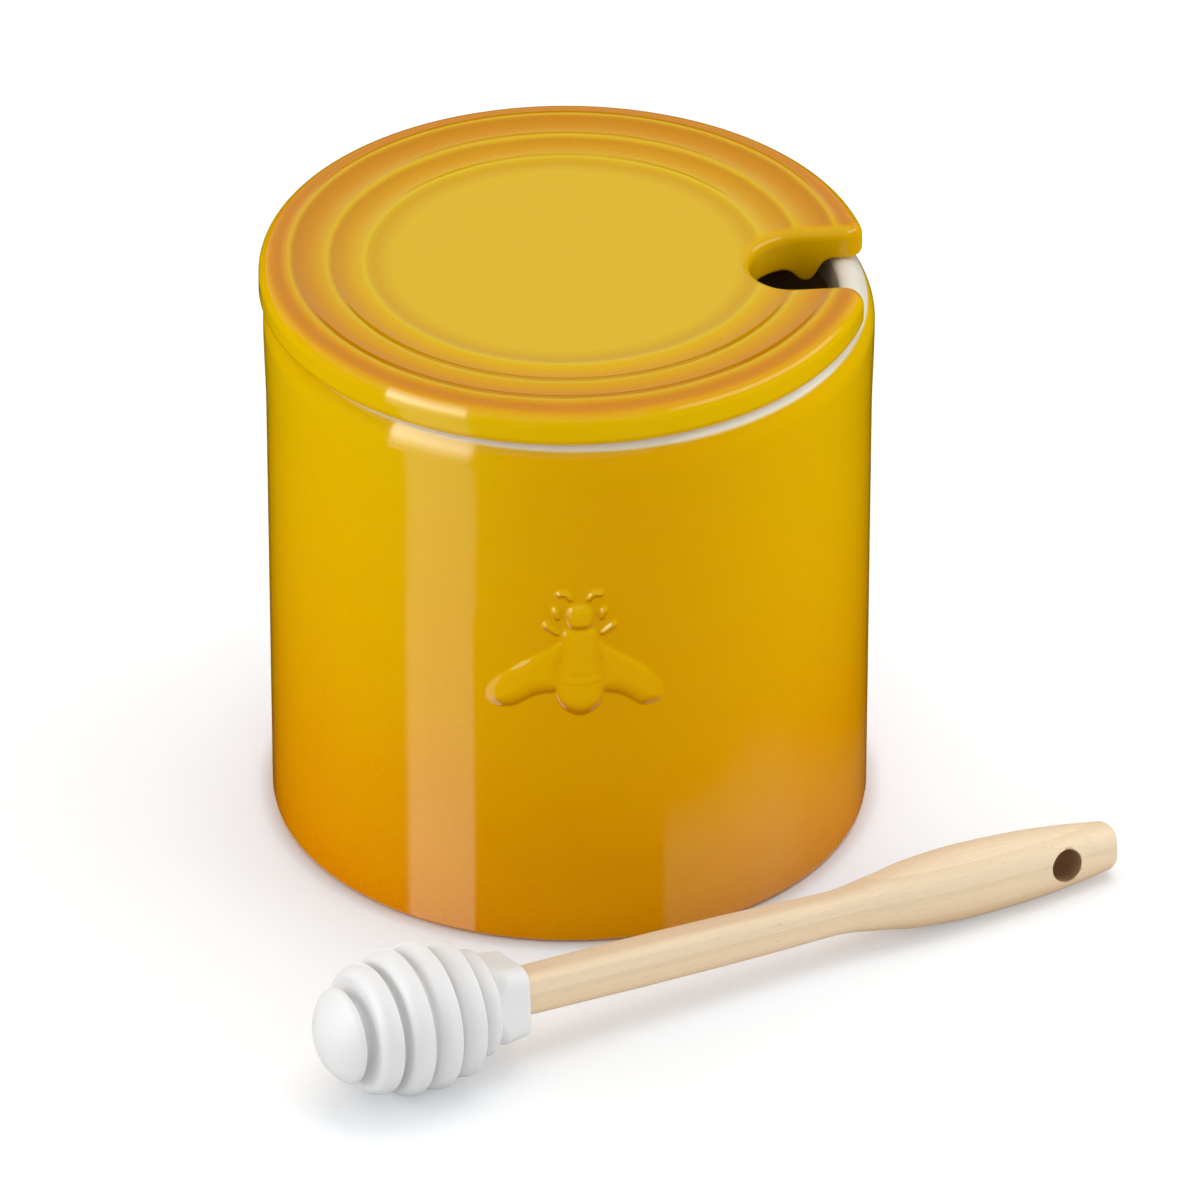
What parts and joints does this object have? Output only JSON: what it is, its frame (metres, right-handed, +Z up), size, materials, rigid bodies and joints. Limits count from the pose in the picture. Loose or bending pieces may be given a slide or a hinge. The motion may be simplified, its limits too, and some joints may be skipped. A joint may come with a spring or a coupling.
{
  "type": "honey pot",
  "caption": "Straight stoneware honey jar with a raised bee, a loose ringed lid notched for the dipper, and a ribbed silicone honey dipper on a shaped wooden handle.",
  "frame": {"origin": "centre of the jar's base, on the surface that the jar and the dipper lie on", "axes": "+Z up along the jar's axis, -Y towards the front with the bee, +X towards the side that the lid's notch opens to"},
  "size_m": [0.1416, 0.1561, 0.1021],
  "materials": {
    "pot_glaze": "gloss",
    "lid_glaze": "gloss",
    "silicone": "matte",
    "wood": "satin"
  },
  "bodies": {
    "pot": {"pot_body": "pot_glaze"},
    "lid": {"lid": "lid_glaze"},
    "dipper": {"dipper_handle": "wood"},
    "dipper_head": {"dipper_head": "silicone"}
  },
  "joints": [
    {"name": "lid_lift", "type": "slide", "parent": "pot", "child": "lid", "axis": [0, 0, 1], "range_m": [0, 0.06]},
    {"name": "dipper_lift", "type": "slide", "parent": "pot", "child": "dipper", "axis": [0, 0, 1], "range_m": [0, 0.14]},
    {"name": "dipper_head_pull", "type": "slide", "parent": "dipper", "child": "dipper_head", "axis": [-0.8736, -0.4833, 0.0568], "range_m": [0, 0.025]}
  ]
}
